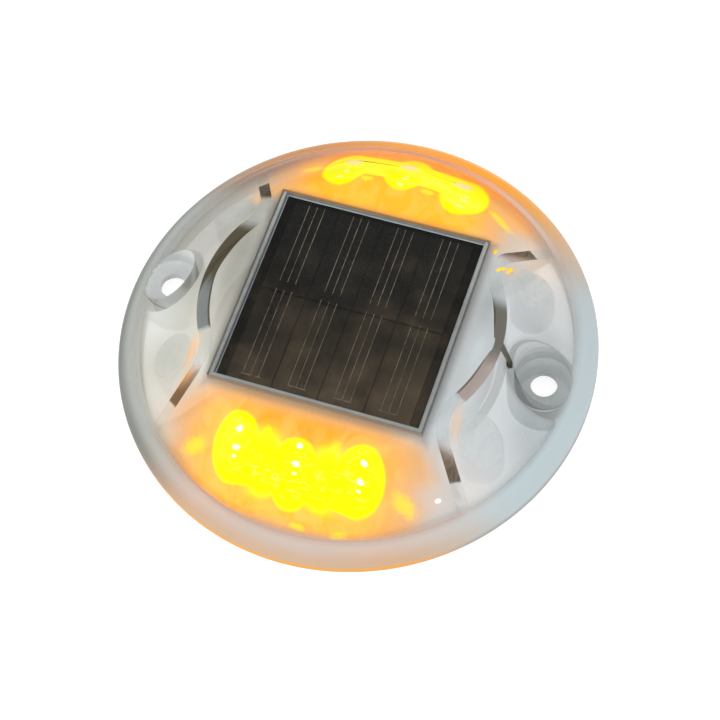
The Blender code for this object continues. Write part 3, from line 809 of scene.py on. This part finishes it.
def rib_material():
    """Dark with painted shade, like the walls' shaded stretches."""
    s = Surface("cover_rib")
    streak = s.noise(1.5, 2.0)
    tone = s.mix(streak, srgb(110, 106, 98), srgb(84, 78, 70))
    return s.finish(s.milky(streak.ramp(0.2, 0.8, 0.80, 0.95), tone))


def pillar_material():
    """Pale and nearly clear, fainter on the left."""
    s = Surface("cover_pillar")
    cloud = s.noise(0.35, 2.0)
    forward = s.y.ramp(5.0, -5.0)
    tone = s.mix(forward, srgb(222, 224, 223), srgb(238, 241, 242))
    haze = cloud.ramp(0.2, 0.8, 0.30, 0.46) * s.x.ramp(-1.0, 1.0, 0.6, 1.0)
    return s.finish(s.milky(haze, s.mix(cloud, tone, srgb(214, 217, 217))))


# ---- pieces of the cover

def classify_shell_faces(piece):
    """Gives each face of the shell its slot: outside, underside, rim, or well."""
    mesh = piece.data
    for polygon in mesh.polygons:
        centre = polygon.center
        radius = math.hypot(centre.x, centre.y)
        from_hole = math.hypot(abs(centre.x) - HOLE_X, centre.y)
        in_well = (from_hole < WELL_RADIUS + 0.0002 and centre.z < skirt_height(radius) - 0.0002
                   and centre.z > 0.002)
        on_outside = centre.z > under_height(min(radius, RIM_INNER_RADIUS)) + 0.0008
        at_rim = radius > RIM_INNER_RADIUS - 0.0002
        on_slope = centre.z > skirt_height(radius) - 0.0006
        on_side = radius > RIM_TOP_RADIUS - 0.0005 and centre.z > 0.0001
        if in_well and radius < 0.0562:
            polygon.material_index = 3
        elif at_rim and not (on_slope or on_side):
            polygon.material_index = 2
        elif on_outside or on_slope or on_side:
            polygon.material_index = 0
        else:
            polygon.material_index = 1


def make_shell():
    """The cover's skin and rim, with the screw wells, their bores and the panel's pocket cut in it."""
    slots = [outer_material(), inner_material(), rim_material(), well_material()]
    shell = add_piece("cover_shell", turned_mesh(outer_profile()), slots, "clear_cover")
    under = add_piece("cutter", turned_mesh(under_profile()), [], None)
    places = [Matrix.Translation((sign * HOLE_X, 0.0, 0.0)) for sign in (-1, 1)]
    well = [(0.0, ABOVE_ALL), (WELL_RADIUS, ABOVE_ALL), (WELL_RADIUS, WELL_FLOOR + 0.0006),
            (WELL_RADIUS - 0.0002, WELL_FLOOR + 0.0002), (WELL_RADIUS - 0.0006, WELL_FLOOR),
            (0.0, WELL_FLOOR)]
    for place in places:
        boolean(shell, turned_mesh(well, 96, place))
        boolean(shell, turned_mesh(post_profile(HOLE_RADIUS, ABOVE_ALL), 64, place))
        tube = post_profile(WELL_RADIUS + WELL_WALL, ABOVE_ALL, FAR_BELOW)
        boolean(under, turned_mesh(tube, 96, place))
    round_edges(shell, 0.00035, 3, 30.0)
    subtract(shell, under)
    for place in places:
        bore = post_profile(WELL_BORE_RADIUS, WELL_FLOOR - WEB_THICKNESS)
        boolean(shell, turned_mesh(bore, 80, place))
    half = PANEL_HALF + GAP
    pocket = bmesh.new()
    add_block(pocket, (-half, -half, 0.012), (half, half, PANEL_TOP + GAP))
    boolean(shell, pocket)
    smooth(shell.data, 32.0)
    classify_shell_faces(shell)
    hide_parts("top_cover")


def wall_height(half, root, top):
    """Height of the flared side at one half width: a fillet from the wall's face out to its root."""
    face = WALL_THICKNESS / 2
    if half <= face:
        return ON_ROAD
    share = (half - face) / (root - face)
    return top - 0.0026 * (1.0 - share) ** 2


def make_walls():
    """The two wavy walls: plain faces that flare at the top, where they grow out of the underside."""
    material = wall_material()
    face = WALL_THICKNESS / 2
    reach = RIM_INNER_RADIUS - 0.0001
    for name, sign in (("left", -1), ("right", 1)):
        bm = bmesh.new()
        rows = []
        turn = WALL_RUN_ANGLE[name]
        for (mx, my), (ex, ey) in zip(wall_line(0.0, reach, turn), wall_line(face, reach, turn)):
            blend = min(1.0, max(0.0, (abs(my) - 0.016) / 0.006))
            pinch = math.exp(-((my - 0.0005) / 0.0045) ** 2)
            inner = ROOT_INNER - (0.0003 if name == "left" else 0.0009) * pinch
            inner += (ROOT_END - inner) * blend
            outer = ROOT_OUTER + (ROOT_END - ROOT_OUTER) * blend
            shares = (0.0, 0.01, 0.35, 0.7, 1.0)
            section = [(-face - (inner - face) * share, False) for share in shares]
            section += [(-inner + (inner + outer) * i / 8, True) for i in range(1, 8)]
            section += [(face + (outer - face) * share, False) for share in reversed(shares)]
            row = []
            for offset, on_top in section:
                x = mx + (ex - mx) * offset / face
                y = my + (ey - my) * offset / face
                top = under_height(min(math.hypot(x, y), RIM_INNER_RADIUS)) + WALL_ROOT
                root = outer if offset > 0.0 else inner
                z = top if on_top else wall_height(abs(offset), root, top)
                row.append(bm.verts.new((sign * x, y, z)))
            rows.append(row)
        join_rows(bm, rows)
        bm.faces.new(rows[0])
        bm.faces.new(rows[-1])
        add_piece("cover_wall_" + name, bm, [material], "clear_cover")


def make_rib():
    """The small tapered rib that ties the right wall to its screw well."""
    start = Vector((0.0372, 0.0014))
    end = Vector((0.0406, -0.0015))
    along = (end - start).normalized()
    beside = Vector((-along.y, along.x))
    bm = bmesh.new()
    rows = []
    for i in range(9):
        share = i / 8
        half = 0.00085 - 0.00025 * share
        middle = start + (end - start) * share
        row = []
        for side, at_top in ((-1, False), (-1, True), (0, True), (1, True), (1, False)):
            x, y = middle + beside * half * side
            top = under_height(math.hypot(x, y)) + RIB_ROOT
            row.append(bm.verts.new((x, y, top if at_top else top - 0.0030)))
        rows.append(row)
    join_rows(bm, rows)
    bm.faces.new(rows[0])
    bm.faces.new(rows[-1])
    add_piece("cover_rib_right", bm, [rib_material()], "clear_cover")


def make_pillars():
    """Four round load pillars, each a side wall and two caps, whose tops follow the underside."""
    material = pillar_material()
    for end, sy in (("front", -1), ("rear", 1)):
        for side, sx in (("left", -1), ("right", 1)):
            bm = bmesh.new()
            steps = 56
            rings = []
            for reach, rise in ((PILLAR_RADIUS, None), (PILLAR_RADIUS, -0.0003),
                                (PILLAR_RADIUS - 0.0004, PILLAR_ROOT)):
                ring = []
                for i in range(steps):
                    angle = 2 * math.pi * i / steps
                    x = sx * PILLAR_X + reach * math.cos(angle)
                    y = sy * PILLAR_Y + reach * math.sin(angle)
                    z = ON_ROAD if rise is None else under_height(math.hypot(x, y)) + rise
                    ring.append(bm.verts.new((x, y, z)))
                rings.append(ring)
            join_rows(bm, rings)
            for ring in (rings[0], rings[-1]):
                middle = [sum(v.co[k] for v in ring) / steps for k in range(3)]
                if ring is rings[-1]:
                    middle[2] = under_height(math.hypot(middle[0], middle[1])) + PILLAR_ROOT
                hub = bm.verts.new(middle)
                for i in range(steps):
                    bm.faces.new((ring[i], ring[(i + 1) % steps], hub))
            add_piece("cover_pillar_%s_%s" % (end, side), bm, [material], "clear_cover")


# ---- lens blocks and LEDs

def lens_material():
    """Lit amber: pure yellow with paler swirls, an orange outline, and painted white highlights on each LED,
    weaker on the rear block.
    """
    s = Surface("lens_lit")
    lobes = lobe_field(s)
    swirl = s.noise(0.5, 4.0, (0.6, 1.6, 1.0), 1.5)
    pale = swirl.ramp(0.54, 0.68) * lobes.ramp(0.75, 0.35)
    colour = s.mix(pale * 0.55, PURE_YELLOW, srgb(255, 255, 120))
    edge = lobes.ramp(0.78, 1.05)
    deep = s.z.ramp(8.5, 4.5)
    colour = s.mix((edge * 0.6).most(deep * 0.6), colour, srgb(255, 204, 0))
    away = s.y.size()
    rear = s.y.ramp(-1.0, 1.0)
    # painted highlights: three white spots along each lobe, reflections of its LED
    highlight_spots = []
    for x, shift in LED_PLACES:
        for reach, wide, along in ((36.6, 0.85, 0.65), (40.2, 0.95, 0.55), (42.0, 0.6, 0.3)):
            across = (s.x - (x / MM + 0.15)) / wide
            outward = (away - (reach + shift / MM * 0.25)) / along
            highlight_spots.append(across * across + outward * outward)
    torn = s.noise(1.3, 3.0, (1.0, 1.6, 1.0), 1.2)
    highlight_spots = reduce(Field.least, highlight_spots) + (torn - 0.5) * 3.2
    painted_highlight = highlight_spots.ramp(1.2, 0.55) * s.mix_value(rear, 1.0, 0.35)
    colour = s.mix(painted_highlight, colour, WHITE)
    return s.finish(s.gloss(s.light(colour, 1.1), 0.12, 1.15))


def make_lenses():
    """The two lens blocks, cut off just under the cover's underside."""
    material = lens_material()
    for group, sign in (("front", -1), ("rear", 1)):
        block = prism_mesh(lens_outline(sign), LENS_BOTTOM, ABOVE_ALL)
        lens = add_piece("lens_block_" + group, block, [material], "amber_lens")
        boolean(lens, turned_mesh(under_profile(GAP), 160), "INTERSECT")
        round_edges(lens, 0.0004, 3, 35.0)
        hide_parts("led_lens_" + group)


def led_material():
    s = Surface("led_lit")
    glow = s.noise(1.2, 2.0)
    colour = s.mix(glow, srgb(255, 250, 120), srgb(255, 232, 40))
    return s.finish(s.gloss(s.light(colour, 1.3), 0.1))


# ---- solar panel

FINGER_GROUPS = (-17.4, -5.8, 5.8, 17.4)
FINGER_HALF = 0.00007
REAR_MARGIN = 0.0008            # how much wider the clear border is at the rear


def silicon_colour(s, darkest, brownest):
    """Dark brown-black with faint mottling, paler and browner towards the front."""
    mottle = s.noise(0.14, 4.0)
    warm = (s.y * -0.016 + s.x * 0.004 + mottle * 1.1 - 0.25).ramp(0.0, 1.2)
    return s.mix(warm, darkest, brownest)


def cell_material():
    s = Surface("silicon")
    grain = s.noise(2.2, 3.0)
    colour = silicon_colour(s, srgb(15, 15, 12), srgb(108, 92, 72))
    colour = s.mix(grain.ramp(0.45, 0.75) * 0.30, colour, srgb(70, 63, 57))
    return s.finish(s.solid(colour, grain.ramp(0.3, 0.8, 0.4, 0.6), Specular_IOR_Level=0.08))


def finger_material():
    s = Surface("printed_finger")
    worn = s.noise(1.1, 3.0)
    colour = s.mix(worn.ramp(0.35, 0.68), srgb(156, 142, 126), srgb(98, 84, 70))
    return s.finish(s.matte(colour))


def panel_back_material():
    s = Surface("panel_back_black")
    speck = s.noise(2.5, 3.0)
    colour = silicon_colour(s, srgb(12, 12, 10), srgb(90, 76, 60))
    colour = s.mix(speck.ramp(0.5, 0.8) * 0.2, colour, srgb(56, 50, 44))
    return s.finish(s.matte(colour, 0.6))


def resin_material():
    """Clear resin over the cells, and a grey border where it wraps down to the back board."""
    s = Surface("panel_resin_clear")
    outward = s.x.size().most(s.y.size() - s.y.ramp(0.0, 20.0, 0.0, REAR_MARGIN / MM))
    border = outward.ramp(CELL_FIELD_HALF / MM - 0.05, CELL_FIELD_HALF / MM + 0.1)
    cloud = s.noise(0.5, 3.0)
    grey = s.mix(cloud, srgb(146, 148, 146), srgb(174, 175, 172))
    base = s.milky(border * 0.9 + 0.015, grey, tint=(0.98, 0.98, 0.98))
    return s.finish(s.gloss(base, cloud.ramp(0.3, 0.7, 0.25, 0.4), 1.08))


def square_ring_mesh(inner, outer, z_low, z_high):
    """A flat square frame, mitred at its corners."""
    bm = bmesh.new()
    loops = []
    for half, z in ((outer, z_low), (outer, z_high), (inner, z_high), (inner, z_low)):
        loops.append([bm.verts.new((sx * half, sy * half, z)) for sx, sy in CORNERS])
    join_rows(bm, loops + loops[:1])
    return bm


def make_fingers():
    """Three fine printed lines down each cell; in the front row they are joined by a short bar at their front
    end.
    """
    material = finger_material()
    z_low = CELL_TOP + 0.00002
    z_high = CELL_TOP + 0.00005
    number = 1
    for row_low, row_high, barred in ((-0.0232, 0.0008, True), (0.0030, 0.0252, False)):
        for group in FINGER_GROUPS:
            bm = bmesh.new()
            for step in (-1, 0, 1):
                x = (group + step * 2.0) * MM
                add_block(bm, (x - FINGER_HALF, row_low, z_low), (x + FINGER_HALF, row_high, z_high))
            if barred:
                left = (group - 2.4) * MM
                right = (group + 2.4) * MM
                add_block(bm, (left, row_low - 0.0003, z_low), (right, row_low - 0.0001, z_high))
            add_piece("cell_fingers_%d" % number, bm, [material], "solar_silicon")
            number += 1


# The bead is the resin's edge round the cells; its pale colour is a painted highlight, where that edge
# catches the light.
def bead_material():
    s = Surface("resin_bead")
    shine = s.noise(0.8, 2.0)
    colour = s.mix(shine, srgb(196, 204, 206), srgb(164, 172, 174))
    return s.finish(s.solid(colour, 0.3))


def make_panel_trim():
    ring = square_ring_mesh(CELL_FIELD_HALF - 0.00035, CELL_FIELD_HALF - 0.00008,
                            CELL_TOP + 0.00005, CELL_TOP + 0.00022)
    for vert in ring.verts:
        vert.co.y += REAR_MARGIN if vert.co.y > 0.0 else 0.0
    bead = add_piece("panel_bead", ring, [bead_material()], "panel_resin")
    round_edges(bead, 0.00006, 2, 30.0)
    make_fingers()


# ---- inner pieces, on their CAD shapes

def plastic_material(name, colour, other, roughness, scale):
    """Two mottled tones; scale is how many mottles there are to a millimetre."""
    s = Surface(name)
    mottle = s.noise(scale, 4.0)
    fine = s.noise(scale * 7.0, 3.0)
    tone = s.mix(mottle.ramp(0.3, 0.7), colour, other)
    rough = fine.ramp(0.3, 0.7, roughness - 0.08, roughness + 0.08)
    return s.finish(s.solid(tone, rough, Normal=s.bump(fine, 0.15, 0.0001)))


def metal_material(name, colour, other, roughness):
    s = Surface(name)
    brushed = s.noise(1.5, 4.0, (0.4, 4.0, 4.0))
    rough = brushed.ramp(0.3, 0.7, roughness - 0.08, roughness + 0.1)
    return s.finish(s.solid(s.mix(brushed, colour, other), rough, Metallic=1.0))


def board_material():
    """Green solder mask with copper tracks showing faintly through it."""
    s = Surface("board_green")
    tracks = s.new("ShaderNodeTexBrick")
    tracks.inputs["Scale"].default_value = 0.35
    tracks.inputs["Mortar Size"].default_value = 0.05
    s.link(s.place, tracks.inputs["Vector"])
    line = Field(s.tree, tracks.outputs["Fac"])
    colour = s.mix(line, srgb(16, 92, 48), srgb(34, 128, 66))
    fine = s.noise(3.0, 2.0)
    return s.finish(s.solid(colour, fine.ramp(0.3, 0.7, 0.3, 0.45), Normal=s.bump(line, 0.3, 0.00005)))


def tray_material():
    """White tray, glowing amber where the LEDs light it."""
    s = Surface("tray_white")
    mottle = s.noise(0.7, 3.0)
    white = s.mix(mottle, srgb(232, 230, 224), srgb(214, 211, 204))
    glow = glow_field(s)
    amber = srgb(250, 190, 80)
    return s.finish(s.add_shader(s.matte(s.mix(glow, white, amber)), s.light(amber, glow * 0.5)))


def dress(names, material):
    for name in names:
        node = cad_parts[name]
        node.data.materials.clear()
        node.data.materials.append(material)


LEDS = ["%s_%d" % (group, number) for group in ("front", "rear") for number in (1, 2, 3)]
LEADS = ["led_lead_%s_%s" % (led, pole) for led in LEDS for pole in "ak"]

# Each is a material's name, its two colours, its roughness, and the nodes that wear it.
METALS = (
    ("tinned", srgb(214, 212, 206), srgb(176, 174, 170), 0.3, LEADS + ["battery_tab_neg", "battery_tab_pos"]),
    ("nickel_can", srgb(200, 200, 200), srgb(150, 150, 152), 0.28, ["battery_cell", "capacitor"]))
PLASTICS = (
    ("base_grey", srgb(120, 124, 126), srgb(100, 104, 107), 0.55, ["base_plate"]),
    ("seal_black", srgb(42, 42, 43), srgb(28, 28, 29), 0.75, ["seal_gasket"]),
    ("sleeve_green", srgb(46, 150, 84), srgb(34, 124, 66), 0.35, ["battery_sleeve"]))
FINE_PLASTICS = (
    ("package_black", srgb(36, 36, 37), srgb(24, 24, 25), 0.5,
     ["driver_ic", "charge_diode", "resistor_1", "resistor_2"]),
    ("ferrite_grey", srgb(74, 71, 70), srgb(52, 50, 50), 0.6, ["inductor"]),
    ("insulation_red", srgb(190, 32, 30), srgb(160, 22, 22), 0.45, ["panel_wire_pos"]),
    ("insulation_black", srgb(40, 40, 41), srgb(26, 26, 27), 0.45, ["panel_wire_neg"]))


def dress_inner_pieces():
    dress(["solar_cell_%d" % n for n in range(1, 9)], cell_material())
    dress(["panel_substrate"], panel_back_material())
    dress(["panel_resin"], resin_material())
    dress(["led_" + led for led in LEDS], led_material())
    dress(["circuit_board"], board_material())
    dress(["carrier_tray"], tray_material())
    for *look, nodes in METALS:
        dress(nodes, metal_material(*look))
    for *look, nodes in PLASTICS:
        dress(nodes, plastic_material(*look, 0.8))
    for *look, nodes in FINE_PLASTICS:
        dress(nodes, plastic_material(*look, 1.5))


# ---- stage, light and camera

def make_stage():
    """A pale matte floor that glows a little, so that it stays white under the soft lamps."""
    s = Surface("floor_white")
    speck = s.noise(0.02, 2.0)
    colour = s.mix(speck, (0.38, 0.38, 0.38), (0.42, 0.42, 0.42))
    material = s.finish(s.add_shader(s.matte(colour), s.light(WHITE, 0.78)))
    bm = bmesh.new()
    reach = 3.0
    bm.faces.new([bm.verts.new((reach * x, reach * y, -0.0001)) for x, y in CORNERS])
    floor = add_piece("stage_floor", bm, [material], None)
    floor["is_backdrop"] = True


def area_light(name, place, size, power):
    lamp = bpy.data.lights.new(name, "AREA")
    lamp.shape = "SQUARE"
    lamp.size = size
    lamp.energy = power
    light = bpy.data.objects.new(name, lamp)
    bpy.context.scene.collection.objects.link(light)
    light.location = place
    light.rotation_euler = (-Vector(place)).to_track_quat("-Z", "Y").to_euler()


def make_light():
    """A pale room that is darker overhead, so that the flat crown stays free of glare, and soft lamps."""
    world = bpy.data.worlds.new("studio")
    bpy.context.scene.world = world
    world.use_nodes = True
    tree = world.node_tree
    place = tree.nodes.new("ShaderNodeTexCoord").outputs["Generated"]
    dot = tree.nodes.new("ShaderNodeVectorMath")
    dot.operation = "DOT_PRODUCT"
    dot.inputs[1].default_value = Vector((-0.21, 0.41, 0.88)).normalized()
    tree.links.new(place, dot.inputs[0])
    level = Field(tree, dot.outputs["Value"]).ramp(0.95, 0.55, 0.06, 0.62)
    background = tree.nodes["Background"]
    background.inputs["Color"].default_value = (1.0, 1.0, 1.0, 1.0)
    tree.links.new(level.socket, background.inputs["Strength"])
    area_light("key", (-0.75, -0.40, 0.60), 0.7, 4.2)
    area_light("fill", (0.62, -0.50, 0.65), 0.7, 2.8)
    area_light("back", (0.30, 0.80, 0.60), 0.7, 3.2)
    area_light("top", (0.10, -0.30, 1.10), 0.9, 5.5)


CAMERA_AZIMUTH = 27.336
CAMERA_ELEVATION = 62.180
CAMERA_ROLL = -9.548
CAMERA_DISTANCE = 0.49834
CAMERA_LENS = 99.588
CAMERA_SHIFT = (0.0041, -0.01735)


def make_camera():
    azimuth = math.radians(CAMERA_AZIMUTH)
    elevation = math.radians(CAMERA_ELEVATION)
    back = Vector((math.sin(azimuth) * math.cos(elevation), -math.cos(azimuth) * math.cos(elevation),
                   math.sin(elevation)))
    level = Vector((math.cos(azimuth), math.sin(azimuth), 0.0))
    up = back.cross(level)
    roll = Matrix.Rotation(math.radians(CAMERA_ROLL), 3, back)
    axes = Matrix((roll @ level, roll @ up, back)).transposed().to_4x4()
    data = bpy.data.cameras.new("camera")
    data.sensor_width = 36.0
    data.lens = CAMERA_LENS
    data.shift_x, data.shift_y = CAMERA_SHIFT
    data.clip_start = 0.01
    camera = bpy.data.objects.new("camera", data)
    bpy.context.scene.collection.objects.link(camera)
    camera.matrix_world = Matrix.Translation(back * CAMERA_DISTANCE) @ axes
    bpy.context.scene.camera = camera


scene = bpy.context.scene
scene.view_settings.view_transform = "Standard"
make_camera()
make_shell()
make_walls()
make_rib()
make_pillars()
make_lenses()
make_panel_trim()
dress_inner_pieces()
make_stage()
make_light()

visual_box = [list(corner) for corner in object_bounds()]
({"cad": [[float(v) for v in c] for c in cad_box],
           "visual": [[float(v) for v in c] for c in visual_box]})
